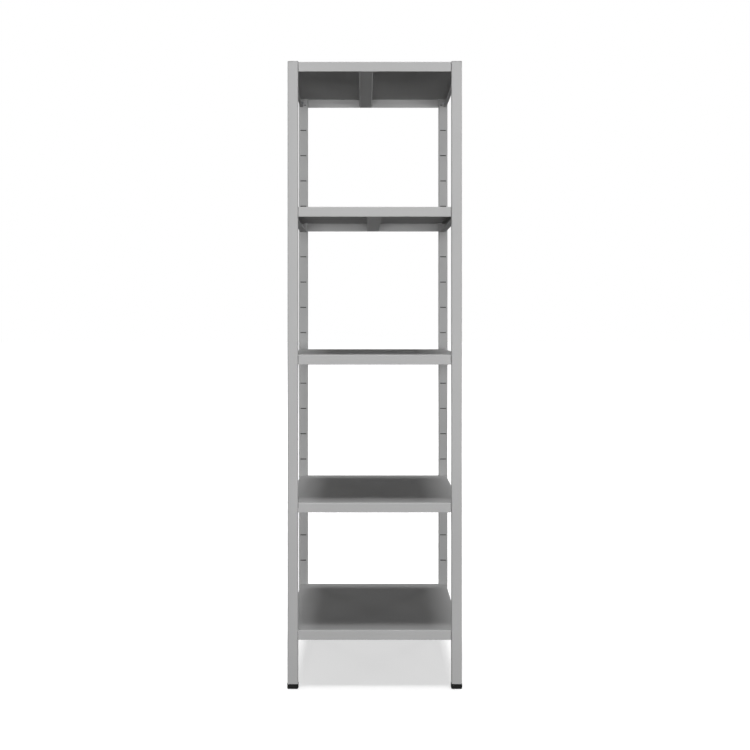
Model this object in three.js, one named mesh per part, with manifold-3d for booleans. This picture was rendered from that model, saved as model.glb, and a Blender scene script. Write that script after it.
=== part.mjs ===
// Free-standing shelving unit: four slotted tube posts, five folded sheet shelves.
// Millimetres, +Z up, origin on the floor at the middle of the unit, front towards -Y.

import * as THREE from 'three';
import { mergeVertices } from 'three/addons/utils/BufferGeometryUtils.js';
import Module from 'manifold-3d';

// Whole unit, over the outer faces of its posts
const unitWidth = 500;
const unitDepth = 400;
const unitHeight = 1800;

// Oblong tube posts
const postWidth = 30;
const postDepth = 15;
const postWall = 1.5;
const postCornerRadius = 3.5;

// Slots punched in the face of a post that looks at the opposite post, front to back
const slotWidth = 20;
const slotHeight = 3;
const slotPitch = 85;
const lowestSlotHeight = 163.5;
const slotEndMargin = 12;

// Caps in the tops of the posts
const capThickness = 2.4;
const capEdgeRadius = 1;
const capPlugLength = 9;

// Feet under the posts
const footHeight = 14;
const footOverhang = 1;
const footEdgeRadius = 3;
const footPlugLength = 26;

// Plugs of caps and feet, hollow, inside the tubes
const plugWall = 2;
const plugLeadIn = 1;

// Folded shelf sheets
const shelfSheet = 1.2;
const lipHeight = 28.5;
const frontSetback = 6;
const sideSetback = 4;
const shelfBendRadius = 1.5;
const hemHeight = 12;
const hemGap = 0.2;
const tabDepth = 7;
const bottomShelfTop = 167;

// Height of each adjustable shelf, as a share of the way up the row of slots
const upperShelfShare = 0.74;
const middleShelfShare = 0.47;
const lowerShelfShare = 0.21;

// Stiffening channel under each shelf, front to back
const stiffenerSheet = 1.2;
const stiffenerWeb = 40;
const stiffenerFlange = 12;
const stiffenerBendRadius = 2;
const topStiffenerOffset = -25;

// Side rails under the shelf sides, front to back between the posts
const railSheet = 1.5;
const railBendRadius = 1;
const railTopFlange = 14;
const crossRailFlange = 8;
const endPlateWidth = 12;
const supportFlange = 20;
const supportDrop = 2;

// Tongues with which the supports of the adjustable shelves hook into the slots
const tongueSideClearance = 3;
const tongueLip = 1.5;

// Screws that hold the top and bottom shelves: each goes through the end plate of a cross rail and
// the slotted wall of the post, its height counted from the bottom of the rail
const screwDiameter = 4.8;
const screwLength = 10;
const screwHeadDiameter = 9.5;
const screwHeadHeight = 3;
const screwSocketSize = 3;
const screwSocketSides = 6;
const screwSocketDepth = 1.8;
const screwHeight = 13;
const screwInset = 7;

// Clearances
const fitGap = 0.3;
const notchClearance = 0.5;
const cutOverrun = 2;

// Arc steps
const cornerSteps = 4;
const bendSteps = 3;
const roundSteps = 16;

// Sizes that follow from the above
const postX = (unitWidth - postWidth) / 2;
const postY = (unitDepth - postDepth) / 2;
const postInnerX = postX - postWidth / 2;
const postInnerY = postY - postDepth / 2;
const postTop = unitHeight - capThickness;
const plugWidth = postWidth - 2 * (postWall + fitGap);
const slotCount = Math.floor((postTop - slotEndMargin - lowestSlotHeight) / slotPitch) + 1;
const shelfHalfWidth = unitWidth / 2 - sideSetback;
const shelfHalfDepth = unitDepth / 2 - frontSetback;
const shelfInnerX = postInnerX - notchClearance;
const shelfInnerY = postInnerY - notchClearance;
const railOuterX = shelfHalfWidth - shelfSheet - fitGap;
const crossRailHeight = lipHeight - shelfSheet - fitGap;
const supportHeight = crossRailHeight + supportDrop;
const topLipBottom = unitHeight - lipHeight;
const bottomLipBottom = bottomShelfTop - lipHeight;
const railEndY = postInnerY - fitGap;
const screwX = railOuterX - screwInset;
const screwHoleRadius = screwDiameter / 2 + fitGap;

const steel = { color: 0xb6b6b6, roughness: 0.5, metalness: 0.3 };
const zincSteel = { color: 0xc4c6c8, roughness: 0.35, metalness: 0.9 };
const greyPlastic = { color: 0xa6a6a6, roughness: 0.6, metalness: 0 };
const blackPlastic = { color: 0x1c1c1c, roughness: 0.6, metalness: 0 };

const wasm = await Module();
wasm.setup();

// Closed three.js geometry to solid, and back

function toSolid(geometry) {
  const bare = geometry.clone();
  bare.deleteAttribute('normal');
  bare.deleteAttribute('uv');
  const merged = mergeVertices(bare);
  const vertProperties = new Float32Array(merged.attributes.position.array);
  const triVerts = new Uint32Array(merged.index.array);
  return new wasm.Manifold(new wasm.Mesh({ numProp: 3, vertProperties, triVerts }));
}

function toGeometry(solid) {
  const mesh = solid.getMesh();
  const geometry = new THREE.BufferGeometry();
  geometry.setAttribute('position', new THREE.BufferAttribute(mesh.vertProperties, 3));
  geometry.setIndex(new THREE.BufferAttribute(mesh.triVerts, 1));
  geometry.computeVertexNormals();
  return geometry;
}

function boxBetween(low, high) {
  const size = new THREE.Vector3().subVectors(high, low);
  const centre = new THREE.Vector3().addVectors(low, high).multiplyScalar(1 / 2);
  const geometry = new THREE.BoxGeometry(size.x, size.y, size.z);
  return geometry.translate(centre.x, centre.y, centre.z);
}

// Round bar of one radius along y, from one end to the other
function barAlongY(radius, startY, endY, x, z, sides) {
  const geometry = new THREE.CylinderGeometry(radius, radius, Math.abs(endY - startY), sides);
  return geometry.translate(x, (startY + endY) / 2, z);
}

function named(name, geometry, finish) {
  const mesh = new THREE.Mesh(geometry, new THREE.MeshStandardMaterial(finish));
  mesh.name = name;
  return mesh;
}

// Outline of an oblong with rounded corners, anticlockwise from the corner at +X, +Y; it is as much
// deeper or less deep than the post as it is wider or narrower

function roundedOblong(width, radius) {
  const points = [];
  const arcCentreX = width / 2 - radius;
  const arcCentreY = arcCentreX - (postWidth - postDepth) / 2;
  for (let corner = 0; corner < 4; corner += 1) {
    const turn = corner * Math.PI / 2;
    const signX = Math.sign(Math.cos(turn + Math.PI / 4));
    const signY = Math.sign(Math.sin(turn + Math.PI / 4));
    for (let step = 0; step <= cornerSteps; step += 1) {
      const angle = turn + step / cornerSteps * Math.PI / 2;
      const x = signX * arcCentreX + radius * Math.cos(angle);
      const y = signY * arcCentreY + radius * Math.sin(angle);
      points.push(new THREE.Vector2(x, y));
    }
  }
  return points;
}

// Solid built up from rounded oblongs one above another; the first and the last are closed over

function stackedOblongs(levels) {
  const rings = levels.map(({ width, z }) => {
    const radius = Math.max(postCornerRadius - (postWidth - width) / 2, postCornerRadius / 4);
    return roundedOblong(width, radius).map((point) => [point.x, point.y, z]);
  });
  const perRing = rings[0].length;
  const positions = rings.flat(2);
  const firstCentre = rings.length * perRing;
  const lastCentre = firstCentre + 1;
  positions.push(0, 0, levels[0].z, 0, 0, levels[levels.length - 1].z);
  const index = [];
  for (let k = 0; k < perRing; k += 1) {
    const next = (k + 1) % perRing;
    for (let ring = 0; ring < rings.length - 1; ring += 1) {
      const below = ring * perRing;
      const above = below + perRing;
      index.push(below + k, below + next, above + next, below + k, above + next, above + k);
    }
    const last = (rings.length - 1) * perRing;
    index.push(firstCentre, next, k, lastCentre, last + k, last + next);
  }
  const geometry = new THREE.BufferGeometry();
  geometry.setAttribute('position', new THREE.Float32BufferAttribute(positions, 3));
  geometry.setIndex(index);
  geometry.computeVertexNormals();
  return geometry;
}

// Cross-section of a folded sheet: the path is the middle of the sheet, and each inner point of
// it is a bend with its own radius to the middle of the sheet

function foldedSheet(path, thickness) {
  const left = [];
  const right = [];
  const addPair = (point, normal) => {
    left.push(point.clone().addScaledVector(normal, thickness / 2));
    right.push(point.clone().addScaledVector(normal, -thickness / 2));
  };
  const leftNormal = (direction) => new THREE.Vector2(-direction.y, direction.x);
  const points = path.map(([u, v]) => new THREE.Vector2(u, v));
  const directions = points.slice(1).map((point, k) => point.clone().sub(points[k]).normalize());
  addPair(points[0], leftNormal(directions[0]));
  for (let k = 1; k < points.length - 1; k += 1) {
    const radius = path[k][2];
    const before = directions[k - 1];
    const turn = before.cross(directions[k]);
    const side = Math.sign(turn);
    const bend = Math.acos(before.dot(directions[k]));
    const start = points[k].clone().addScaledVector(before, -radius * Math.tan(bend / 2));
    const centre = start.clone().addScaledVector(leftNormal(before), side * radius);
    for (let step = 0; step <= bendSteps; step += 1) {
      const angle = side * bend * step / bendSteps;
      const outward = leftNormal(before).multiplyScalar(-side).rotateAround(new THREE.Vector2(), angle);
      const point = centre.clone().addScaledVector(outward, radius);
      addPair(point, outward.clone().multiplyScalar(-side));
    }
  }
  addPair(points[points.length - 1], leftNormal(directions[directions.length - 1]));
  return new THREE.Shape([...right, ...left.reverse()]);
}

// A section drawn in (x, z) and run along y, or drawn in (y, z) and run along x

function runAlongY(shape, halfLength) {
  const geometry = new THREE.ExtrudeGeometry(shape, { depth: 2 * halfLength, bevelEnabled: false });
  return geometry.rotateX(Math.PI / 2).translate(0, halfLength, 0);
}

function runAlongX(shape, halfLength) {
  return runAlongY(shape, halfLength).rotateZ(Math.PI / 2);
}

// Posts

function postTube(innerSign) {
  const outline = new THREE.Shape(roundedOblong(postWidth, postCornerRadius));
  const bore = roundedOblong(postWidth - 2 * postWall, postCornerRadius - postWall);
  outline.holes.push(new THREE.Path(bore));
  const bottom = footHeight + fitGap;
  const length = postTop - fitGap - bottom;
  const tube = new THREE.ExtrudeGeometry(outline, { depth: length, bevelEnabled: false });
  let solid = toSolid(tube.translate(0, 0, bottom));
  const faceY = postDepth / 2;
  for (let k = 0; k < slotCount; k += 1) {
    const centre = lowestSlotHeight + k * slotPitch;
    const low = new THREE.Vector3(-slotWidth / 2, faceY - postWall - cutOverrun, centre - slotHeight / 2);
    const high = new THREE.Vector3(slotWidth / 2, faceY + cutOverrun, centre + slotHeight / 2);
    solid = solid.subtract(toSolid(boxBetween(low, high)));
  }
  for (const lipBottom of [topLipBottom, bottomLipBottom]) {
    const holeX = innerSign * (postX - screwX);
    const holeStart = faceY - postWall - cutOverrun;
    const holeEnd = faceY + cutOverrun;
    const holeZ = lipBottom + screwHeight;
    const hole = barAlongY(screwHoleRadius, holeStart, holeEnd, holeX, holeZ, roundSteps);
    solid = solid.subtract(toSolid(hole));
  }
  return toGeometry(solid);
}

// Screw with a flat round head and a hexagonal socket, for the rear, with y counted from the inner
// face of the rail's end plate

function screwGeometry() {
  const headTop = -fitGap - screwHeadHeight;
  const socketBottom = headTop + screwSocketDepth;
  const head = barAlongY(screwHeadDiameter / 2, headTop, -fitGap, 0, 0, roundSteps);
  const shank = barAlongY(screwDiameter / 2, socketBottom, screwLength, 0, 0, roundSteps);
  const socketRadius = screwSocketSize / 2;
  const socket = barAlongY(socketRadius, headTop - cutOverrun, socketBottom, 0, 0, screwSocketSides);
  return toGeometry(toSolid(head).subtract(toSolid(socket)).add(toSolid(shank)));
}

// Caps and feet: an outer part that covers the tube's end, and a hollow plug inside it

function capStack() {
  const plugEnd = postTop - capPlugLength;
  const hollowWidth = plugWidth - 2 * plugWall;
  const levels = [
    { width: hollowWidth, z: postTop },
    { width: hollowWidth, z: plugEnd },
    { width: plugWidth - 2 * plugLeadIn, z: plugEnd },
    { width: plugWidth, z: plugEnd + plugLeadIn },
    { width: plugWidth, z: postTop },
    { width: postWidth, z: postTop },
  ];
  for (let step = 0; step <= bendSteps; step += 1) {
    const angle = step / bendSteps * Math.PI / 2;
    const inset = capEdgeRadius * (1 - Math.cos(angle));
    levels.push({ width: postWidth - 2 * inset, z: unitHeight - capEdgeRadius * (1 - Math.sin(angle)) });
  }
  return stackedOblongs(levels);
}

function footStack() {
  const width = postWidth + 2 * footOverhang;
  const plugEnd = footHeight + footPlugLength;
  const hollowWidth = plugWidth - 2 * plugWall;
  const levels = [];
  for (let step = 0; step <= bendSteps; step += 1) {
    const angle = step / bendSteps * Math.PI / 2;
    const inset = footEdgeRadius * (1 - Math.sin(angle));
    levels.push({ width: width - 2 * inset, z: footEdgeRadius * (1 - Math.cos(angle)) });
  }
  levels.push(
    { width, z: footHeight },
    { width: plugWidth, z: footHeight },
    { width: plugWidth, z: plugEnd - plugLeadIn },
    { width: plugWidth - 2 * plugLeadIn, z: plugEnd },
    { width: hollowWidth, z: plugEnd },
    { width: hollowWidth, z: footHeight },
  );
  return stackedOblongs(levels);
}

// Shelf sheet, with its height counted from the bottom of its lips

function shelfSheetSolid() {
  const half = shelfSheet / 2;
  const bend = shelfBendRadius + half;
  const top = lipHeight - half;
  const lipY = shelfHalfDepth - half;
  const hemY = lipY - shelfSheet - hemGap;
  const hemBend = (shelfSheet + hemGap / 2) / 2;
  const sideX = shelfHalfWidth - half;
  const frontToBack = [
    [-hemY, hemHeight], [-hemY, half, hemBend], [-lipY, half, hemBend], [-lipY, top, bend],
    [lipY, top, bend], [lipY, half, hemBend], [hemY, half, hemBend], [hemY, hemHeight],
  ];
  const sideToSide = [[-sideX, 0], [-sideX, top, bend], [sideX, top, bend], [sideX, 0]];
  const middle = toSolid(runAlongX(foldedSheet(frontToBack, shelfSheet), shelfInnerX));
  const wings = toSolid(runAlongY(foldedSheet(sideToSide, shelfSheet), shelfInnerY));
  let solid = middle.add(wings);
  for (const signX of [-1, 1]) {
    for (const signY of [-1, 1]) {
      const tabX = [signX * shelfInnerX, signX * (shelfInnerX - shelfSheet)];
      const tabY = [signY * (shelfHalfDepth - shelfSheet / 2), signY * (shelfHalfDepth - tabDepth)];
      const low = new THREE.Vector3(Math.min(...tabX), Math.min(...tabY), shelfSheet);
      const high = new THREE.Vector3(Math.max(...tabX), Math.max(...tabY), lipHeight - bend);
      solid = solid.add(toSolid(boxBetween(low, high)));
    }
  }
  return solid;
}

// Hat-shaped channel that stiffens a shelf, its closed side down

function stiffenerGeometry() {
  const half = stiffenerSheet / 2;
  const bend = stiffenerBendRadius + half;
  const wall = stiffenerWeb / 2 - half;
  const top = lipHeight - shelfSheet - fitGap - half;
  const section = [
    [-wall - stiffenerFlange, top], [-wall, top, bend], [-wall, half, bend],
    [wall, half, bend], [wall, top, bend], [wall + stiffenerFlange, top],
  ];
  const hemInnerY = shelfHalfDepth - 2 * shelfSheet - hemGap;
  return runAlongY(foldedSheet(section, stiffenerSheet), hemInnerY - fitGap);
}

// Side rail: a channel open towards the middle of the shelf, drawn for the +X side

function railSolid(height, bottomFlange, halfLength) {
  const half = railSheet / 2;
  const bend = railBendRadius + half;
  const wall = railOuterX - half;
  const top = height - half;
  const section = [
    [railOuterX - bottomFlange, half], [wall, half, bend], [wall, top, bend],
    [railOuterX - railTopFlange, top],
  ];
  return toSolid(runAlongY(foldedSheet(section, railSheet), halfLength));
}

// Cross rail of the top or bottom shelf, with an end plate at each post for its screw

function crossRailSolid() {
  const half = railSheet / 2;
  let solid = railSolid(crossRailHeight, crossRailFlange, railEndY);
  for (const sign of [-1, 1]) {
    const plateY = [sign * (railEndY - railSheet), sign * railEndY];
    const low = new THREE.Vector3(railOuterX - endPlateWidth, Math.min(...plateY), half);
    const high = new THREE.Vector3(railOuterX - half, Math.max(...plateY), crossRailHeight - half);
    const holeStart = sign * (railEndY - railSheet - cutOverrun);
    const holeEnd = sign * (railEndY + cutOverrun);
    const hole = barAlongY(screwHoleRadius, holeStart, holeEnd, screwX, screwHeight, roundSteps);
    solid = solid.add(toSolid(boxBetween(low, high))).subtract(toSolid(hole));
  }
  return solid;
}

// Support of an adjustable shelf: its bottom flange lies a little below the lips of the shelf, runs
// on as a tongue through the slot and turns down behind the wall of the post

function supportSolid() {
  const tongueHalf = slotWidth / 2 - tongueSideClearance;
  const hookInnerY = postInnerY + postWall + fitGap;
  const hookOuterY = hookInnerY + railSheet;
  let solid = railSolid(supportHeight, supportFlange, railEndY);
  for (const sign of [-1, 1]) {
    const tongueY = [sign * (railEndY - cutOverrun), sign * hookOuterY];
    const hookY = [sign * hookInnerY, sign * hookOuterY];
    const spans = [{ y: tongueY, bottom: 0 }, { y: hookY, bottom: fitGap - tongueLip }];
    for (const { y, bottom } of spans) {
      const low = new THREE.Vector3(postX - tongueHalf, Math.min(...y), bottom);
      const high = new THREE.Vector3(postX + tongueHalf, Math.max(...y), railSheet);
      solid = solid.add(toSolid(boxBetween(low, high)));
    }
  }
  return solid.translate([0, 0, -supportDrop]);
}

// Shelves from the top down; the supports of an adjustable one sit on the lower edges of four slots

function slotLipBottom(share) {
  const slot = Math.round(share * (slotCount - 1));
  return lowestSlotHeight + slot * slotPitch - slotHeight / 2 + fitGap + supportDrop;
}

const sheet = shelfSheetSolid();
const screwedShelf = { railWord: 'cross_rail', rail: crossRailSolid(), screws: true };
const hookedShelf = { railWord: 'support', rail: supportSolid(), screws: false };
const shelves = [
  { name: 'top_shelf', lipBottom: topLipBottom, kind: screwedShelf, offset: topStiffenerOffset },
  { name: 'upper_shelf', lipBottom: slotLipBottom(upperShelfShare), kind: hookedShelf, offset: 0 },
  { name: 'middle_shelf', lipBottom: slotLipBottom(middleShelfShare), kind: hookedShelf, offset: 0 },
  { name: 'lower_shelf', lipBottom: slotLipBottom(lowerShelfShare), kind: hookedShelf, offset: 0 },
  { name: 'bottom_shelf', lipBottom: bottomLipBottom, kind: screwedShelf, offset: 0 },
];

const corners = [
  { words: 'front_left', signX: -1, signY: -1 },
  { words: 'front_right', signX: 1, signY: -1 },
  { words: 'rear_left', signX: -1, signY: 1 },
  { words: 'rear_right', signX: 1, signY: 1 },
];

const unit = new THREE.Group();

for (const { name, lipBottom, kind, offset } of shelves) {
  const shelf = new THREE.Group();
  shelf.position.z = lipBottom;
  const stiffener = named(`${name}_stiffener`, stiffenerGeometry(), steel);
  stiffener.position.x = offset;
  const right = named(`${name}_${kind.railWord}_right`, toGeometry(kind.rail), steel);
  const left = named(`${name}_${kind.railWord}_left`, toGeometry(kind.rail), steel);
  left.rotation.z = Math.PI;
  shelf.add(named(name, toGeometry(sheet), steel), stiffener, right, left);
  for (const { words, signX, signY } of kind.screws ? corners : []) {
    const screw = named(`${name}_screw_${words}`, screwGeometry(), zincSteel);
    screw.position.set(signX * screwX, signY * (railEndY - railSheet), screwHeight);
    screw.rotation.z = signY > 0 ? 0 : Math.PI;
    shelf.add(screw);
  }
  unit.add(shelf);
}

// Posts with their feet and caps; the rear ones are turned so that their slots look forward

for (const { words, signX, signY } of corners) {
  const corner = new THREE.Group();
  corner.position.set(signX * postX, signY * postY, 0);
  corner.rotation.z = signY > 0 ? Math.PI : 0;
  corner.add(named(`${words}_post`, postTube(signX * signY), steel));
  corner.add(named(`${words}_cap`, capStack(), greyPlastic));
  corner.add(named(`${words}_foot`, footStack(), blackPlastic));
  unit.add(corner);
}

export default unit;
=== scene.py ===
import math

import bmesh
import bpy
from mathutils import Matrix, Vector


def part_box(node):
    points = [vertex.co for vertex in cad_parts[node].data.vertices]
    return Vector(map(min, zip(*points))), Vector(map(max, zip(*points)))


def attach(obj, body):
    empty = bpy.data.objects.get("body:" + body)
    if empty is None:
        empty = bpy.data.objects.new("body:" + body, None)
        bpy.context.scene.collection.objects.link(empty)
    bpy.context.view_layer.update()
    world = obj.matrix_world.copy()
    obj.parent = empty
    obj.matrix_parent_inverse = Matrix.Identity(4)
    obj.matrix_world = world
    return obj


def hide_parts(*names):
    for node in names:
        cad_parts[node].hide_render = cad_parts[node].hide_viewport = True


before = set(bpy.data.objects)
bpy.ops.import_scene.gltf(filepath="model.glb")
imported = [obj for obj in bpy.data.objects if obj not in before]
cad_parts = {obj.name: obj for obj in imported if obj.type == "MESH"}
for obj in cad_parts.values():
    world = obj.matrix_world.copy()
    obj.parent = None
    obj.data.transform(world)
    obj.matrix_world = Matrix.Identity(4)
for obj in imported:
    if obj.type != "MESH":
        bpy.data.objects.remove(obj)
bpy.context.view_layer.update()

# Camera
# The photograph was taken level, from about 2.2 m in front of the unit and a little left of its
# middle. The unit stands off the centre of the picture, so the lens is shifted.
camera_distance = 2.215
camera_sideways = -0.0296
camera_height = 1.066
camera_sensor = 36
camera_lens = 37.12
camera_shift = (0.0141, -0.0773)

front_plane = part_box("front_left_post")[0].y
camera_data = bpy.data.cameras.new("camera")
camera_data.sensor_width = camera_sensor
camera_data.lens = camera_lens
camera_data.shift_x, camera_data.shift_y = camera_shift
camera = bpy.data.objects.new("camera", camera_data)
camera.location = (camera_sideways, front_plane - camera_distance, camera_height)
camera.rotation_euler = (math.radians(90), 0, 0)
bpy.context.scene.collection.objects.link(camera)
bpy.context.scene.camera = camera

# Posts
# Four oblong tubes of welded steel strip, with rounded corners. A row of slots is punched in the
# side of each that looks at the opposite post, front to back, and the tube is powder coated.
tube_wall = 0.0015
tube_corner_radius = 0.0035
tube_corner_steps = 6
slot_width = 0.020
slot_height = 0.003
slot_corner_radius = 0.0012
slot_corner_steps = 3
slot_pitch = 0.085
slot_count = 20
lowest_slot_height = 0.1635
screw_hole_radius = 0.0027
screw_hole_sides = 32
punched_edge_width = 0.00025
punched_edge_steps = 2
same_length = 0.00001
squarely = 0.99
sharp_edge_angle = math.radians(50)
smooth_up_to_angle = math.radians(40)
cutter_overrun = 0.002

paint_colour = (0.47, 0.47, 0.47, 1)
paint_gloss = 0.03
paint_roughness = (0.60, 0.72)
paint_cloud_size = 0.30
paint_mottle_size = 0.004
paint_dull_patch_size = 0.02
paint_shade_share = 0.035
paint_speck_share = paint_shade_share / 3
paint_peel_size = 0.0022
paint_peel_depth = 0.00004
paint_grain_size = 0.0005
paint_grain_depth = 0.00001
# Edges are painted lighter over this reach and share: partly the coat pulling thin there, partly a
# painted highlight.
thin_coat_and_highlight_reach = 0.0007
thin_coat_and_highlight_share = 0.10
thin_coat_and_highlight_samples = 4
thin_coat_and_highlight_turn = (0.80, 0.98)
noise_reach = (0.3, 0.7)

# The inside of the tubes is coloured very dark: partly bare steel, partly painted shade in the hollow,
# which darkens the slots.
inside_steel_and_shade_colour = (0.080, 0.078, 0.075, 1)
bare_steel_gloss = 0.2
bare_steel_roughness = (0.55, 0.75)
bare_steel_cloud_size = 0.012
bare_steel_shade = (0.85, 1.15)
bare_steel_streak_size = 0.0015


def add_node(tree, kind, inputs, **settings):
    """A shader node, with plain values or other nodes' outputs on its inputs."""
    made = tree.nodes.new("ShaderNode" + kind)
    for name, value in settings.items():
        setattr(made, name, value)
    for name, value in inputs.items():
        if isinstance(value, bpy.types.NodeSocket):
            tree.links.new(value, made.inputs[name])
        else:
            made.inputs[name].default_value = value
    return made


def new_finish(name, colour):
    """A material with its shader and the point of the piece in metres, for patterns."""
    finish = bpy.data.materials.new(name)
    finish.use_nodes = True
    tree = finish.node_tree
    shader = tree.nodes["Principled BSDF"]
    shader.inputs["Base Color"].default_value = colour
    point = add_node(tree, "TexCoord", {}).outputs["Object"]
    return finish, tree, shader, point


def noise(tree, point, size, detail):
    """Cloudy noise whose lumps are about one size across, in metres."""
    inputs = {"Vector": point, "Scale": 1 / size, "Detail": detail}
    return add_node(tree, "TexNoise", inputs).outputs["Fac"]


def mapped(tree, value, reach, low, high):
    """A value that runs over a reach, mapped to run from one number to another."""
    inputs = {"Value": value, "From Min": reach[0], "From Max": reach[1], "To Min": low, "To Max": high}
    return add_node(tree, "MapRange", inputs).outputs["Result"]


def spread(tree, value, low, high):
    """A noise value stretched from one number to another."""
    return mapped(tree, value, noise_reach, low, high)


def shaded(tree, colour, share):
    """A colour made lighter or darker by a share."""
    scaled = add_node(tree, "VectorMath", {0: colour, "Scale": share}, operation="SCALE")
    return scaled.outputs["Vector"]


def raised(tree, height, depth, normal=None):
    """A bump of a depth in metres, on top of another one if it is given."""
    inputs = {"Height": height, "Distance": depth, "Strength": 1.0}
    if normal is not None:
        inputs["Normal"] = normal
    return add_node(tree, "Bump", inputs).outputs["Normal"]


def powder_coat():
    """Satin grey powder coat: orange peel, a fine grain, cloudy tone, and edges painted lighter, partly
    for the coat pulling thin there and partly as a painted highlight.
    """
    finish, tree, shader, point = new_finish("grey_powder_coat", paint_colour)
    cloud = noise(tree, point, paint_cloud_size, detail=2)
    mottle = noise(tree, point, paint_mottle_size, detail=3)
    shade = spread(tree, cloud, 1 - paint_shade_share, 1 + paint_shade_share)
    speck = spread(tree, mottle, 1 - paint_speck_share, 1 + paint_speck_share)
    even = add_node(tree, "Math", {0: shade, 1: speck}, operation="MULTIPLY").outputs[0]
    flat = add_node(tree, "NewGeometry", {}).outputs["Normal"]
    # Edges are painted up to a tenth lighter: partly the coat pulling thin there, partly a painted
    # highlight along them.
    bevel = add_node(tree, "Bevel", {"Radius": thin_coat_and_highlight_reach}, samples=thin_coat_and_highlight_samples)
    rounded = bevel.outputs["Normal"]
    along = add_node(tree, "VectorMath", {0: flat, 1: rounded}, operation="DOT_PRODUCT")
    edge = mapped(tree, along.outputs["Value"], thin_coat_and_highlight_turn, 1 + thin_coat_and_highlight_share, 1.0)
    share = add_node(tree, "Math", {0: even, 1: edge}, operation="MULTIPLY").outputs[0]
    tree.links.new(shaded(tree, paint_colour[:3], share), shader.inputs["Base Color"])
    shader.inputs["Specular IOR Level"].default_value = paint_gloss
    rough = spread(tree, noise(tree, point, paint_dull_patch_size, detail=4), *paint_roughness)
    tree.links.new(rough, shader.inputs["Roughness"])
    peel = raised(tree, noise(tree, point, paint_peel_size, detail=2), paint_peel_depth)
    grain = raised(tree, noise(tree, point, paint_grain_size, detail=2), paint_grain_depth, peel)
    tree.links.new(grain, shader.inputs["Normal"])
    return finish


def inside_steel_and_shade():
    """Uncoated scaly steel inside a tube, where the powder doesn't reach; its very dark colour is
    partly the steel's own and partly painted shade for the hollow.
    """
    finish, tree, shader, point = new_finish("bare_steel_and_painted_shade", inside_steel_and_shade_colour)
    cloud = spread(tree, noise(tree, point, bare_steel_cloud_size, detail=3), *bare_steel_shade)
    tree.links.new(shaded(tree, inside_steel_and_shade_colour[:3], cloud), shader.inputs["Base Color"])
    shader.inputs["Specular IOR Level"].default_value = bare_steel_gloss
    streak = noise(tree, point, bare_steel_streak_size, detail=3)
    rough = spread(tree, streak, *bare_steel_roughness)
    tree.links.new(rough, shader.inputs["Roughness"])
    return finish


def select_only(piece):
    """Makes a piece the only one that operators act on."""
    bpy.ops.object.select_all(action="DESELECT")
    piece.select_set(True)
    bpy.context.view_layer.objects.active = piece


def take_new(name):
    """Names the object that an operator has just added, with its place put in its mesh."""
    piece = bpy.context.active_object
    bpy.ops.object.transform_apply(location=True, rotation=True, scale=True)
    piece.name = name
    piece.data.name = name
    return piece


def add_block(name, low, high):
    """A block between two corners, to be shaped."""
    bpy.ops.object.select_all(action="DESELECT")
    low, high = Vector(low), Vector(high)
    bpy.ops.mesh.primitive_cube_add(size=1, location=(low + high) / 2, scale=high - low)
    return take_new(name)


def add_bar(name, start, end, radius, sides):
    """A round or many-sided bar along y, from one point to another."""
    bpy.ops.object.select_all(action="DESELECT")
    start, end = Vector(start), Vector(end)
    bpy.ops.mesh.primitive_cylinder_add(
        vertices=sides,
        radius=radius,
        depth=(end - start).length,
        location=(start + end) / 2,
        rotation=(math.radians(90), 0, 0),
    )
    return take_new(name)


def pick_edges(piece, wanted):
    """Selects, in edit mode, the edges whose two ends pass a test together."""
    bpy.ops.mesh.select_mode(type="EDGE")
    bpy.ops.mesh.select_all(action="DESELECT")
    shape = bmesh.from_edit_mesh(piece.data)
    for edge in shape.edges:
        edge.select_set(wanted(edge.verts[0].co, edge.verts[1].co))
    bmesh.update_edit_mesh(piece.data)


def pick_faces(piece, wanted):
    """Selects, in edit mode, the faces whose middle and normal pass a test."""
    bpy.ops.mesh.select_mode(type="FACE")
    bpy.ops.mesh.select_all(action="DESELECT")
    shape = bmesh.from_edit_mesh(piece.data)
    for face in shape.faces:
        face.select_set(wanted(face.calc_center_median(), face.normal))
    bmesh.update_edit_mesh(piece.data)


def same(first, second):
    """Whether two lengths are the same, to a hundredth of a millimetre."""
    return abs(first - second) < same_length


def round_edges(width, steps):
    """Rounds the selected edges."""
    bpy.ops.mesh.bevel(
        offset_type="OFFSET", offset=width, segments=steps, affect="EDGES", clamp_overlap=False
    )


def apply_modifier(piece, kind, **settings):
    """Adds a modifier and applies it."""
    select_only(piece)
    modifier = piece.modifiers.new(kind.lower(), kind)
    for name, value in settings.items():
        setattr(modifier, name, value)
    bpy.ops.object.modifier_apply(modifier=modifier.name)


def combine(piece, others, operation):
    """Adds other solids to a piece (UNION) or cuts them out of it (DIFFERENCE), and removes them."""
    for other in others:
        apply_modifier(piece, "BOOLEAN", operation=operation, solver="EXACT", object=other)
        bpy.data.objects.remove(other)


def screw_hole_cutter(shelf, corner, low_y, high_y):
    """A bar that cuts the hole for one of a shelf's screws, in line with the screw."""
    low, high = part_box(f"{shelf}_screw_{corner}")
    middle = (low + high) / 2
    start, end = (middle.x, low_y, middle.z), (middle.x, high_y, middle.z)
    return add_bar("hole_cutter", start, end, screw_hole_radius, screw_hole_sides)


def copy_piece(piece, name, flip=(1, 1, 1), move=(0, 0, 0)):
    """A copy with its own mesh, mirrored in the middle of the unit or moved."""
    select_only(piece)
    bpy.ops.object.duplicate()
    twin = bpy.context.active_object
    twin.scale = flip
    twin.location = move
    take_new(name)
    bpy.ops.object.mode_set(mode="EDIT")
    bpy.ops.mesh.select_all(action="SELECT")
    bpy.ops.mesh.normals_make_consistent(inside=False)
    bpy.ops.object.mode_set(mode="OBJECT")
    return twin


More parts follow.
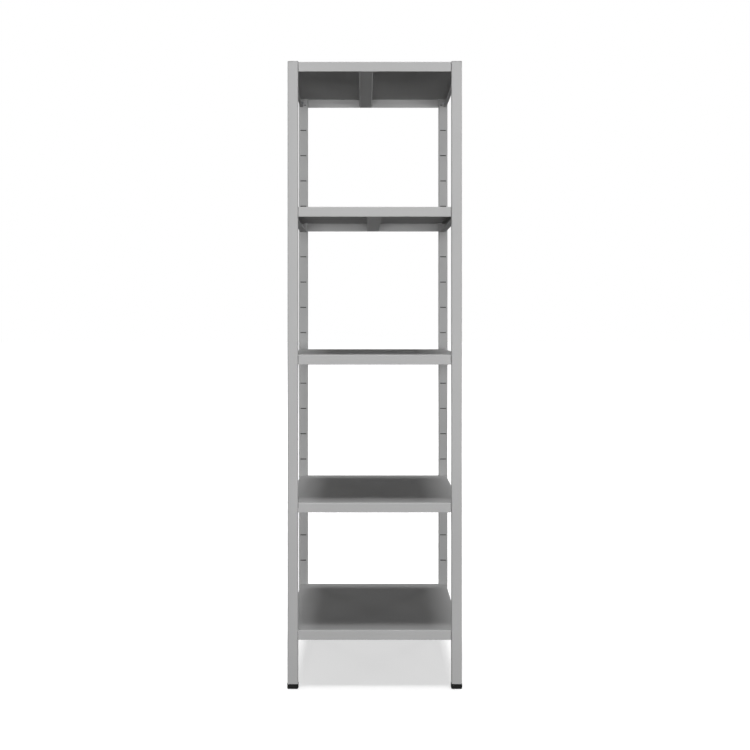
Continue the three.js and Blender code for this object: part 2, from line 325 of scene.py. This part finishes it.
def fit_piece(piece, node, finish=None):
    """Smooths a finished piece, gives it its material and puts it in the place of its CAD node."""
    select_only(piece)
    bpy.ops.object.shade_smooth_by_angle(angle=smooth_up_to_angle)
    apply_modifier(piece, "WEIGHTED_NORMAL", keep_sharp=True)
    if finish is not None:
        piece.data.materials.append(finish)
    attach(piece, "root")
    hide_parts(node)


paint = powder_coat()
post_low, post_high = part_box("front_left_post")
post_middle = (post_low + post_high) / 2
first_post = add_block("front_left_post_tube", post_low, post_high)
bpy.ops.object.mode_set(mode="EDIT")
pick_faces(first_post, lambda middle, normal: abs(normal.z) > squarely)
bpy.ops.mesh.delete(type="ONLY_FACE")
pick_edges(first_post, lambda a, b: not same(a.z, b.z))
round_edges(tube_corner_radius, tube_corner_steps)
bpy.ops.object.mode_set(mode="OBJECT")
# The inner faces get the dark inside finish: bare steel with painted shade.
first_post.data.materials.append(paint)
first_post.data.materials.append(inside_steel_and_shade())
apply_modifier(
    first_post, "SOLIDIFY", thickness=tube_wall, offset=-1, use_even_offset=True, material_offset=1
)

# The slots and screw holes are punched in the inner wall, and the coat softens their edges.
slot_cutter = add_block(
    "slot_cutter",
    (
        post_middle.x - slot_width / 2,
        post_high.y - tube_wall - cutter_overrun,
        lowest_slot_height - slot_height / 2,
    ),
    (
        post_middle.x + slot_width / 2,
        post_high.y + cutter_overrun,
        lowest_slot_height + slot_height / 2,
    ),
)
bpy.ops.object.mode_set(mode="EDIT")
pick_edges(slot_cutter, lambda a, b: not same(a.y, b.y))
round_edges(slot_corner_radius, slot_corner_steps)
bpy.ops.object.mode_set(mode="OBJECT")
apply_modifier(
    slot_cutter,
    "ARRAY",
    count=slot_count,
    use_relative_offset=False,
    use_constant_offset=True,
    constant_offset_displace=(0, 0, slot_pitch),
)
post_cutters = [slot_cutter]
for shelf in ("top_shelf", "bottom_shelf"):
    hole_y = (post_high.y - tube_wall - cutter_overrun, post_high.y + cutter_overrun)
    post_cutters.append(screw_hole_cutter(shelf, "front_left", *hole_y))
combine(first_post, post_cutters, "DIFFERENCE")
apply_modifier(
    first_post,
    "BEVEL",
    width=punched_edge_width,
    segments=punched_edge_steps,
    limit_method="ANGLE",
    angle_limit=sharp_edge_angle,
    use_clamp_overlap=False,
)

corner_flips = {
    "front_left": (1, 1, 1),
    "front_right": (-1, 1, 1),
    "rear_left": (1, -1, 1),
    "rear_right": (-1, -1, 1),
}


def fit_at_corners(first_piece, node_ending, piece_ending, finish=None):
    """Copies a piece of the front left corner to the other corners and fits all four."""
    pieces = {"front_left": first_piece}
    for corner in ("front_right", "rear_left", "rear_right"):
        pieces[corner] = copy_piece(first_piece, corner + piece_ending, corner_flips[corner])
    for corner, piece in pieces.items():
        fit_piece(piece, corner + node_ending, finish)


fit_at_corners(first_post, "_post", "_post_tube")

# Post caps
# Flat covers moulded in grey plastic, each with a hollow plug that is pressed into the open top
# of its post. They have the post's own outline, with a soft upper edge.
cap_edge_radius = 0.001
cap_edge_steps = 4
cap_plug_gap = 0.0003
plug_wall = 0.002
plug_lead_in = 0.001
plug_hollow_radius = 0.000875
cap_colour = (0.43, 0.43, 0.43, 1)
cap_gloss = 0.2
cap_roughness = (0.50, 0.62)
cap_grain_size = 0.0007
cap_grain_depth = 0.00003
plastic_flow_size = 0.02
plastic_flow_shade = (0.90, 1.10)
plastic_dull_patch_size = 0.003


def moulded_plastic(name, colour, gloss, roughness, grain_size, grain_depth):
    """Dull moulded plastic with the fine sparked grain of its mould and faint flow marks."""
    finish, tree, shader, point = new_finish(name, colour)
    shader.inputs["Specular IOR Level"].default_value = gloss
    flow = spread(tree, noise(tree, point, plastic_flow_size, detail=3), *plastic_flow_shade)
    tree.links.new(shaded(tree, colour[:3], flow), shader.inputs["Base Color"])
    rough = spread(tree, noise(tree, point, plastic_dull_patch_size, detail=3), *roughness)
    tree.links.new(rough, shader.inputs["Roughness"])
    grain = raised(tree, noise(tree, point, grain_size, detail=3), grain_depth)
    tree.links.new(grain, shader.inputs["Normal"])
    return finish


def extrude(move):
    """Extrudes what is selected by a move in metres."""
    bpy.ops.mesh.extrude_region_move(TRANSFORM_OT_translate={"value": move})


def form_plug(length, direction):
    """Draws the selected face out into a plug with a chamfered end."""
    extrude((0, 0, direction * (length - plug_lead_in)))
    bpy.ops.mesh.inset(thickness=plug_lead_in, depth=plug_lead_in)


def hollow_plug(piece, low_z, high_z):
    """Hollows the plug of the front left corner between two heights, down to its wall."""
    inset = tube_wall + cap_plug_gap + plug_wall
    hollow = add_block(
        "plug_hollow",
        (post_low.x + inset, post_low.y + inset, low_z),
        (post_high.x - inset, post_high.y - inset, high_z),
    )
    bpy.ops.object.mode_set(mode="EDIT")
    pick_edges(hollow, lambda a, b: not same(a.z, b.z))
    round_edges(plug_hollow_radius, tube_corner_steps)
    bpy.ops.object.mode_set(mode="OBJECT")
    combine(piece, [hollow], "DIFFERENCE")


cap_plastic = moulded_plastic(
    "grey_cap_plastic", cap_colour, cap_gloss, cap_roughness, cap_grain_size, cap_grain_depth
)
cap_low, cap_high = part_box("front_left_cap")
cap_seat = post_high.z + cap_plug_gap
first_cap = add_block(
    "front_left_cap_moulding", (cap_low.x, cap_low.y, cap_seat), (cap_high.x, cap_high.y, cap_high.z)
)
bpy.ops.object.mode_set(mode="EDIT")
pick_edges(first_cap, lambda a, b: not same(a.z, b.z))
round_edges(tube_corner_radius, tube_corner_steps)
pick_edges(first_cap, lambda a, b: same(a.z, cap_high.z) and same(b.z, cap_high.z))
round_edges(cap_edge_radius, cap_edge_steps)
pick_faces(first_cap, lambda middle, normal: normal.z < -squarely)
bpy.ops.mesh.inset(thickness=tube_wall + cap_plug_gap)
form_plug(cap_seat - cap_low.z, -1)
bpy.ops.object.mode_set(mode="OBJECT")
hollow_plug(first_cap, cap_low.z - cutter_overrun, cap_seat)
fit_at_corners(first_cap, "_cap", "_cap_moulding", cap_plastic)

# Feet
# Black moulded plastic feet, a little wider than the posts and rounded where they meet the floor.
# Each has a hollow plug that is pressed up into the post.
foot_edge_radius = 0.003
foot_edge_steps = 5
foot_shoulder_radius = 0.0004
foot_shoulder_steps = 2
foot_colour = (0.012, 0.012, 0.012, 1)
foot_gloss = 0.1
foot_roughness = (0.48, 0.62)
foot_grain_size = 0.0008
foot_grain_depth = 0.00004

foot_plastic = moulded_plastic(
    "black_foot_plastic", foot_colour, foot_gloss, foot_roughness, foot_grain_size, foot_grain_depth
)
foot_low, foot_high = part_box("front_left_foot")
foot_top = post_low.z - cap_plug_gap
foot_overhang = post_low.x - foot_low.x
first_foot = add_block(
    "front_left_foot_moulding", foot_low, (foot_high.x, foot_high.y, foot_top)
)
bpy.ops.object.mode_set(mode="EDIT")
pick_edges(first_foot, lambda a, b: not same(a.z, b.z))
round_edges(tube_corner_radius + foot_overhang, tube_corner_steps)
pick_edges(first_foot, lambda a, b: same(a.z, foot_low.z) and same(b.z, foot_low.z))
round_edges(foot_edge_radius, foot_edge_steps)
pick_edges(first_foot, lambda a, b: same(a.z, foot_top) and same(b.z, foot_top))
round_edges(foot_shoulder_radius, foot_shoulder_steps)
pick_faces(first_foot, lambda middle, normal: normal.z > squarely)
bpy.ops.mesh.inset(thickness=foot_overhang - foot_shoulder_radius + tube_wall + cap_plug_gap)
form_plug(foot_high.z - foot_top, 1)
bpy.ops.object.mode_set(mode="OBJECT")
hollow_plug(first_foot, foot_top, foot_high.z + cutter_overrun)
fit_at_corners(first_foot, "_foot", "_foot_moulding", foot_plastic)

# Shelf sheets
# Each shelf is one folded steel sheet, powder coated like the posts. Its front and rear lips lie
# between the posts and end in a hem and two tabs, and its side lips hide the rails.
sheet_thickness = 0.0012
sheet_fold_radius = 0.0027
sheet_fold_steps = 6
post_clearance = 0.0005
hem_height = 0.012
hem_gap = 0.0002
hem_fold_steps = 4
hem_setback = 0.002
tab_depth = 0.007
tab_relief = 0.003
tab_fold_radius = 0.0016
sheared_edge_width = 0.0002
sheared_edge_steps = 2
sliver_size = 0.000002


def add_flat(name, low, high, facing):
    """A level sheet between two corners of one height, facing up (1) or down (-1)."""
    bpy.ops.object.select_all(action="DESELECT")
    low, high = Vector(low), Vector(high)
    bpy.ops.mesh.primitive_plane_add(size=1, location=(low + high) / 2)
    bpy.context.active_object.scale = (high.x - low.x, high.y - low.y, 1)
    piece = take_new(name)
    if facing < 0:
        bpy.ops.object.mode_set(mode="EDIT")
        bpy.ops.mesh.select_all(action="SELECT")
        bpy.ops.mesh.flip_normals()
        bpy.ops.object.mode_set(mode="OBJECT")
    return piece


def fold(piece, wanted, *moves):
    """Carries the sheet on from the edges that pass a test, one flat after another."""
    pick_edges(piece, wanted)
    for move in moves:
        extrude(move)


def cut_line(point, direction):
    """Divides the selected faces along a plane."""
    bpy.ops.mesh.bisect(plane_co=point, plane_no=direction)


def keep_in_box(piece, low, high):
    """Brings corners that a modifier threw out of a piece's box back to its sides."""
    for vertex in piece.data.vertices:
        for axis in range(3):
            vertex.co[axis] = min(max(vertex.co[axis], low[axis]), high[axis])


def thicken(piece, thickness):
    """Gives a folded sheet its thickness, inwards from its outer face."""
    bpy.ops.object.mode_set(mode="OBJECT")
    apply_modifier(piece, "SOLIDIFY", thickness=thickness, offset=-1)


def ease_edges(piece, width):
    """Softens the sheared edges of a piece, as its coat of paint does."""
    places = [vertex.co.copy() for vertex in piece.data.vertices]
    low = [min(place[axis] for place in places) for axis in range(3)]
    high = [max(place[axis] for place in places) for axis in range(3)]
    apply_modifier(
        piece,
        "BEVEL",
        width=width,
        segments=sheared_edge_steps,
        limit_method="ANGLE",
        angle_limit=sharp_edge_angle,
        use_clamp_overlap=False,
    )
    keep_in_box(piece, low, high)
    bpy.ops.object.mode_set(mode="EDIT")
    bpy.ops.mesh.select_all(action="SELECT")
    bpy.ops.mesh.dissolve_degenerate(threshold=sliver_size)
    bpy.ops.object.mode_set(mode="OBJECT")


sheet_low, sheet_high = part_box("top_shelf")
lip_end_x = -post_high.x - post_clearance
lip_end_y = -post_high.y - post_clearance
hem_end_x = lip_end_x - hem_setback
hem_turn = 2 * sheet_thickness + hem_gap
tab_bottom = sheet_low.z + tab_relief
tab_top = sheet_high.z - sheet_fold_radius - tab_relief / 2
# Just deeper than the hem, so that both of its folds are found.
hem_band = 1.1 * hem_turn
first_sheet = add_flat(
    "top_shelf_sheet",
    (sheet_low.x, sheet_low.y, sheet_high.z),
    (sheet_high.x, sheet_high.y, sheet_high.z),
    1,
)
bpy.ops.object.mode_set(mode="EDIT")
# The corners are cut out for the posts.
for sign in (-1, 1):
    bpy.ops.mesh.select_all(action="SELECT")
    cut_line((sign * lip_end_x, 0, 0), (1, 0, 0))
    bpy.ops.mesh.select_all(action="SELECT")
    cut_line((0, sign * lip_end_y, 0), (0, 1, 0))
pick_faces(
    first_sheet, lambda middle, normal: abs(middle.x) > lip_end_x and abs(middle.y) > lip_end_y
)
bpy.ops.mesh.delete(type="FACE")
# The lips go down, and those at the front and the rear run on into a hem and two tabs.
lip_drop = (0, 0, sheet_low.z - sheet_high.z)
for sign in (-1, 1):
    side_x = sign * sheet_high.x
    fold(first_sheet, lambda a, b: same(a.x, side_x) and same(b.x, side_x), lip_drop)
    lip_y = sign * sheet_high.y
    fold(first_sheet, lambda a, b: same(a.y, lip_y) and same(b.y, lip_y), lip_drop)
    for cut in (
        ((-hem_end_x, 0, 0), (1, 0, 0)),
        ((hem_end_x, 0, 0), (1, 0, 0)),
        ((0, 0, tab_bottom), (0, 0, 1)),
        ((0, 0, tab_top), (0, 0, 1)),
    ):
        pick_faces(
            first_sheet, lambda middle, normal: same(middle.y, lip_y) and abs(normal.y) > squarely
        )
        cut_line(*cut)
    fold(
        first_sheet,
        lambda a, b: same(a.y, lip_y)
        and same(a.z, sheet_low.z)
        and same(b.z, sheet_low.z)
        and abs(a.x + b.x) / 2 < hem_end_x,
        (0, -sign * hem_turn, 0),
        (0, 0, hem_height),
    )
    fold(
        first_sheet,
        lambda a, b: same(a.y, lip_y)
        and same(b.y, lip_y)
        and same(abs(a.x), lip_end_x)
        and same(a.x, b.x)
        and tab_bottom < (a.z + b.z) / 2 < tab_top,
        (0, -sign * tab_depth, 0),
    )
# The folds are rounded: first those of the lips, then those of the hems and the tabs.
pick_edges(
    first_sheet,
    lambda a, b: same(a.z, sheet_high.z)
    and same(b.z, sheet_high.z)
    and (
        (same(abs(a.x), sheet_high.x) and same(abs(b.x), sheet_high.x))
        or (same(abs(a.y), sheet_high.y) and same(abs(b.y), sheet_high.y))
    ),
)
round_edges(sheet_fold_radius, sheet_fold_steps)
pick_edges(
    first_sheet,
    lambda a, b: same(a.z, sheet_low.z)
    and same(b.z, sheet_low.z)
    and abs(a.y) > sheet_high.y - hem_band
    and same(a.y, b.y)
    and abs(a.x + b.x) / 2 < hem_end_x,
)
round_edges(hem_turn / 2 - hem_gap / 4, hem_fold_steps)
pick_edges(
    first_sheet,
    lambda a, b: same(abs(a.x), lip_end_x)
    and same(a.x, b.x)
    and same(abs(a.y), sheet_high.y)
    and same(a.y, b.y)
    and tab_bottom < (a.z + b.z) / 2 < tab_top,
)
round_edges(tab_fold_radius, hem_fold_steps)
thicken(first_sheet, sheet_thickness)

hooked_shelves = ("upper_shelf", "middle_shelf", "lower_shelf")
sheets = {"top_shelf": first_sheet}
for shelf in (*hooked_shelves, "bottom_shelf"):
    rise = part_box(shelf)[0].z - sheet_low.z
    sheets[shelf] = copy_piece(first_sheet, shelf + "_sheet", move=(0, 0, rise))
for shelf, sheet in sheets.items():
    ease_edges(sheet, sheared_edge_width)
    fit_piece(sheet, shelf, paint)

# Stiffening channels
# A hat-shaped channel of folded sheet is spot welded under each shelf, from the front lip to the
# rear one, closed side down. The one under the top shelf sits a little left of the middle.
channel_web = 0.040
channel_fold_radius = 0.0032
channel_fold_steps = 5

channel_low, channel_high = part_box("top_shelf_stiffener")
channel_middle = (channel_low.x + channel_high.x) / 2
web_x = (channel_middle - channel_web / 2, channel_middle + channel_web / 2)
flange_z = channel_high.z - sheet_thickness
first_channel = add_flat(
    "top_shelf_stiffener_channel",
    (web_x[0], channel_low.y, channel_low.z),
    (web_x[1], channel_high.y, channel_low.z),
    -1,
)
bpy.ops.object.mode_set(mode="EDIT")
for edge_x, end_x in ((web_x[0], channel_low.x), (web_x[1], channel_high.x)):
    fold(
        first_channel,
        lambda a, b: same(a.x, edge_x) and same(b.x, edge_x),
        (0, 0, flange_z - channel_low.z),
        (end_x - edge_x, 0, 0),
    )
pick_edges(
    first_channel,
    lambda a, b: same(a.x, b.x) and same(a.z, channel_low.z) and same(b.z, channel_low.z),
)
round_edges(channel_fold_radius, channel_fold_steps)
pick_edges(
    first_channel,
    lambda a, b: same(a.x, b.x)
    and same(a.z, flange_z)
    and (same(a.x, web_x[0]) or same(a.x, web_x[1])),
)
round_edges(channel_fold_radius - sheet_thickness, channel_fold_steps)
thicken(first_channel, sheet_thickness)
ease_edges(first_channel, sheared_edge_width)

channels = {"top_shelf": first_channel}
for shelf in (*hooked_shelves, "bottom_shelf"):
    low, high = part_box(shelf + "_stiffener")
    move = ((low.x + high.x) / 2 - channel_middle, 0, low.z - channel_low.z)
    channels[shelf] = copy_piece(first_channel, shelf + "_stiffener_channel", move=move)
for shelf, channel in channels.items():
    fit_piece(channel, shelf + "_stiffener", paint)

# Side rails
# Channels of thicker sheet run front to back under the shelf sides, open towards the middle. The
# narrow ones have a plate at each end for a screw, the wide ones hook into the slots by tongues.
rail_thickness = 0.0015
rail_fold_radius = 0.0025
rail_fold_steps = 5
rail_top_flange = 0.014
cross_rail_foot = 0.008
support_foot = 0.020
end_plate_width = 0.012
end_plate_inset = 0.0012
weld_step = 0.00005
tongue_half_width = 0.007
hook_drop = 0.0012
rail_post_gap = 0.0003


def form_rail(name, low, high, foot_width, drop):
    """A rail of the left side in its box. With a drop it has tongues, whose hooks go down by it."""
    length_end = -post_high.y - rail_post_gap
    foot_x = low.x + foot_width
    foot_z = low.z + drop
    rail = add_flat(name, (low.x, -length_end, foot_z), (foot_x, length_end, foot_z), -1)
    bpy.ops.object.mode_set(mode="EDIT")
    if drop > 0:
        for side in (-1, 1):
            bpy.ops.mesh.select_all(action="SELECT")
            cut_line((post_middle.x + side * tongue_half_width, 0, 0), (1, 0, 0))
        for end in (-1, 1):
            reach = high.y - rail_thickness - length_end
            fold(
                rail,
                lambda a, b: same(a.y, end * length_end)
                and same(b.y, end * length_end)
                and same((a.x + b.x) / 2, post_middle.x),
                (0, end * reach, 0),
                (0, 0, -drop),
            )
    fold(
        rail,
        lambda a, b: same(a.x, low.x) and same(b.x, low.x),
        (0, 0, high.z - foot_z),
        (rail_top_flange, 0, 0),
    )
    pick_edges(rail, lambda a, b: same(a.x, low.x) and same(b.x, low.x) and same(a.z, b.z))
    round_edges(rail_fold_radius, rail_fold_steps)
    thicken(rail, rail_thickness)
    return rail


def weld_end_plates(rail, low, high):
    """Closes the ends of a cross rail of the top shelf with plates that have screw holes."""
    plate_x = (low.x + end_plate_inset, low.x + end_plate_width)
    plate_z = (low.z + end_plate_inset, high.z - end_plate_inset)
    for corner, plate_y in (
        ("front_left", (low.y + weld_step, low.y + rail_thickness)),
        ("rear_left", (high.y - rail_thickness, high.y - weld_step)),
    ):
        plate = add_block("end_plate", *zip(plate_x, plate_y, plate_z))
        hole_y = (plate_y[0] - cutter_overrun, plate_y[1] + cutter_overrun)
        combine(plate, [screw_hole_cutter("top_shelf", corner, *hole_y)], "DIFFERENCE")
        ease_edges(plate, sheared_edge_width)
        combine(rail, [plate], "UNION")


rails = {}
for kind, shelves, foot_width, drop in (
    ("_cross_rail", ("top_shelf", "bottom_shelf"), cross_rail_foot, 0),
    ("_support", hooked_shelves, support_foot, hook_drop),
):
    first_node = shelves[0] + kind + "_left"
    rail_low, rail_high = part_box(first_node)
    first_rail = form_rail(first_node + "_channel", rail_low, rail_high, foot_width, drop)
    ease_edges(first_rail, sheared_edge_width)
    if kind == "_cross_rail":
        weld_end_plates(first_rail, rail_low, rail_high)
    rails[first_node] = first_rail
    for shelf in shelves:
        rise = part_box(shelf + kind + "_left")[0].z - rail_low.z
        for side, flip in (("_left", (1, 1, 1)), ("_right", (-1, 1, 1))):
            node = shelf + kind + side
            if node != first_node:
                rails[node] = copy_piece(first_rail, node + "_channel", flip, (0, 0, rise))
for node, rail in rails.items():
    fit_piece(rail, node, paint)

# Screws
# Zinc plated self-tapping screws with a low round head and a hexagon socket hold the top and the
# bottom shelf. They go through the end plates of the cross rails into the walls of the posts.
screw_head_height = 0.003
screw_head_radius = 0.00475
screw_head_edge = 0.0012
screw_head_edge_steps = 4
screw_sides = 32
screw_shank_radius = 0.0024
screw_socket_radius = 0.0015
screw_socket_depth = 0.0018
screw_socket_sides = 6
thread_pitch = 0.0012
thread_depth_share = 0.18
thread_turns = 5
screw_point_share = 0.3
zinc_colour = (0.55, 0.56, 0.58, 1)
zinc_shade = (0.88, 1.08)
zinc_roughness = (0.28, 0.45)
zinc_cloud_size = 0.004
zinc_dull_patch_size = 0.002
zinc_wear_size = 0.0006
zinc_wear_depth = 0.00001


def zinc_plate():
    """Zinc plated steel: a bright grey metal with a cloudy, slightly uneven sheen."""
    finish, tree, shader, point = new_finish("zinc_plated_steel", zinc_colour)
    shader.inputs["Metallic"].default_value = 1.0
    cloud = spread(tree, noise(tree, point, zinc_cloud_size, detail=3), *zinc_shade)
    tree.links.new(shaded(tree, zinc_colour[:3], cloud), shader.inputs["Base Color"])
    rough = spread(tree, noise(tree, point, zinc_dull_patch_size, detail=3), *zinc_roughness)
    tree.links.new(rough, shader.inputs["Roughness"])
    worn = raised(tree, noise(tree, point, zinc_wear_size, detail=2), zinc_wear_depth)
    tree.links.new(worn, shader.inputs["Normal"])
    return finish


zinc = zinc_plate()
first_screw_node = "top_shelf_screw_front_left"
screw_low, screw_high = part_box(first_screw_node)
screw_middle = (screw_low + screw_high) / 2
head_top = (screw_middle.x, screw_high.y, screw_middle.z)
head_seat = (screw_middle.x, screw_high.y - screw_head_height, screw_middle.z)
first_screw = add_bar(
    first_screw_node + "_turned", head_seat, head_top, screw_head_radius, screw_sides
)
bpy.ops.object.mode_set(mode="EDIT")
pick_edges(first_screw, lambda a, b: same(a.y, screw_high.y) and same(b.y, screw_high.y))
round_edges(screw_head_edge, screw_head_edge_steps)
pick_faces(first_screw, lambda middle, normal: normal.y < -squarely)
bpy.ops.mesh.inset(thickness=screw_head_radius - screw_shank_radius)
thread_length = thread_turns * thread_pitch
plain_length = head_seat[1] - screw_low.y - thread_length - thread_pitch
extrude((0, -plain_length, 0))
for _ in range(thread_turns):
    for size in (1 - thread_depth_share, 1 / (1 - thread_depth_share)):
        extrude((0, -thread_pitch / 2, 0))
        bpy.ops.transform.resize(value=(size, 1, size))
extrude((0, -thread_pitch, 0))
bpy.ops.transform.resize(value=(screw_point_share, 1, screw_point_share))
bpy.ops.object.mode_set(mode="OBJECT")
socket_floor = (screw_middle.x, screw_high.y - screw_socket_depth, screw_middle.z)
socket_mouth = (screw_middle.x, screw_high.y + cutter_overrun, screw_middle.z)
socket_cutter = add_bar(
    "socket_cutter", socket_floor, socket_mouth, screw_socket_radius, screw_socket_sides
)
combine(first_screw, [socket_cutter], "DIFFERENCE")
screws = {first_screw_node: first_screw}
for shelf in ("top_shelf", "bottom_shelf"):
    for corner, flip in corner_flips.items():
        node = f"{shelf}_screw_{corner}"
        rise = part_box(node)[0].z - screw_low.z
        if node != first_screw_node:
            screws[node] = copy_piece(first_screw, node + "_turned", flip, (0, 0, rise))
for node, screw in screws.items():
    fit_piece(screw, node, zinc)

# Floor, backdrop and light
# A plain white floor that runs into a white surround, lit by large soft lamps. Only what the
# camera and mirror-like surfaces see is lifted to white, so the lamps stay at a plain level.
floor_size = 60
floor_seen_colour = (0.80, 0.80, 0.80, 1)
floor_lit_colour = (0.05, 0.05, 0.05, 1)
floor_lift = (0.55, 1.0)
floor_lift_reach = (1.2, 4.0)
floor_roughness = 0.9
white = (1, 1, 1, 1)
surround_light = 0.035
lamp_aim_front = (0, 0, 1.5)
lamp_aim_rear = (0, 0, 0.9)
top_lamp_height = 12.0
narrow_beam = 60
wide_beam = 180

bpy.ops.object.select_all(action="DESELECT")
bpy.ops.mesh.primitive_plane_add(size=floor_size)
floor = take_new("floor")
floor_finish, floor_tree, floor_shader, floor_point = new_finish("white_floor", floor_seen_colour)
floor_shader.inputs["Roughness"].default_value = floor_roughness
floor_shader.inputs["Specular IOR Level"].default_value = 0.0
floor_path = add_node(floor_tree, "LightPath", {})
floor_seen = add_node(
    floor_tree,
    "Math",
    {0: floor_path.outputs["Is Camera Ray"], 1: floor_path.outputs["Is Glossy Ray"]},
    operation="MAXIMUM",
)
floor_colour = add_node(
    floor_tree,
    "Mix",
    {0: floor_seen.outputs[0], 6: floor_lit_colour, 7: floor_seen_colour},
    data_type="RGBA",
)
floor_tree.links.new(floor_colour.outputs[2], floor_shader.inputs["Base Color"])
floor_reach = add_node(floor_tree, "VectorMath", {0: floor_point}, operation="LENGTH")
floor_level = mapped(floor_tree, floor_reach.outputs["Value"], floor_lift_reach, *floor_lift)
floor_glow = add_node(
    floor_tree, "Math", {0: floor_seen.outputs[0], 1: floor_level}, operation="MULTIPLY"
)
floor_shader.inputs["Emission Color"].default_value = white
floor_tree.links.new(floor_glow.outputs[0], floor_shader.inputs["Emission Strength"])
floor.data.materials.append(floor_finish)

surround = bpy.data.worlds.new("white_surround")
surround.use_nodes = True
bpy.context.scene.world = surround
surround_tree = surround.node_tree
surround_output = surround_tree.nodes["World Output"]
surround_lit = surround_tree.nodes["Background"]
surround_lit.inputs["Color"].default_value = white
surround_lit.inputs["Strength"].default_value = surround_light
surround_seen = add_node(surround_tree, "Background", {"Color": white, "Strength": 1.0})
surround_path = add_node(surround_tree, "LightPath", {})
surround_plain = add_node(
    surround_tree,
    "Math",
    {0: surround_path.outputs["Is Camera Ray"], 1: surround_path.outputs["Is Glossy Ray"]},
    operation="MAXIMUM",
)
surround_any = add_node(
    surround_tree,
    "Math",
    {0: surround_plain.outputs[0], 1: surround_path.outputs["Is Transmission Ray"]},
    operation="MAXIMUM",
)
surround_mix = add_node(
    surround_tree,
    "MixShader",
    {
        0: surround_any.outputs[0],
        1: surround_lit.outputs["Background"],
        2: surround_seen.outputs["Background"],
    },
)
surround_tree.links.new(surround_mix.outputs["Shader"], surround_output.inputs["Surface"])


def add_soft_lamp(name, place, aim, size, power, beam):
    """An oblong soft lamp at a place, turned to a point. Neither it nor its reflection is seen."""
    lamp_data = bpy.data.lights.new(name, "AREA")
    lamp_data.shape = "RECTANGLE"
    lamp_data.size, lamp_data.size_y = size
    lamp_data.energy = power
    lamp_data.spread = math.radians(beam)
    lamp = bpy.data.objects.new(name, lamp_data)
    lamp.location = place
    lamp.rotation_euler = (Vector(aim) - Vector(place)).to_track_quat("-Z", "Y").to_euler()
    lamp.visible_camera = False
    lamp.visible_glossy = False
    bpy.context.scene.collection.objects.link(lamp)


# The front lamps stand low, with narrow beams, so the posts and lips are bright and the decks dark.
for name, place, size, power in (
    ("front_low_lamp", (-0.2, -9.0, 0.7), (2.8, 0.5), 32),
    ("front_high_lamp", (-0.2, -9.0, 1.9), (2.8, 0.9), 33),
    ("front_right_lamp", (4.5, -8.0, 0.9), (1.5, 1.0), 15),
):
    add_soft_lamp(name, place, lamp_aim_front, size, power, narrow_beam)
# The top lamps hang beside the unit, not over it, and light the rims of the decks.
for name, x, y, size, power in (
    ("top_front_lamp", 0, -1.6, (3.0, 1.2), 360),
    ("top_rear_lamp", 0, 1.4, (3.0, 1.0), 380),
    ("top_left_lamp", -2.3, 0, (1.6, 1.8), 260),
    ("top_right_lamp", 2.3, 0, (1.6, 1.8), 250),
):
    add_soft_lamp(name, (x, y, top_lamp_height), (x, y, 0), size, power, wide_beam)
# The rear lamps light the back and the sides, which the camera doesn't see from the front.
for name, x in (("rear_left_lamp", -8.0), ("rear_right_lamp", 8.0)):
    add_soft_lamp(name, (x, 8.0, 1.0), lamp_aim_rear, (2.5, 2.0), 48, narrow_beam)

bpy.context.scene.view_settings.view_transform = "Standard"
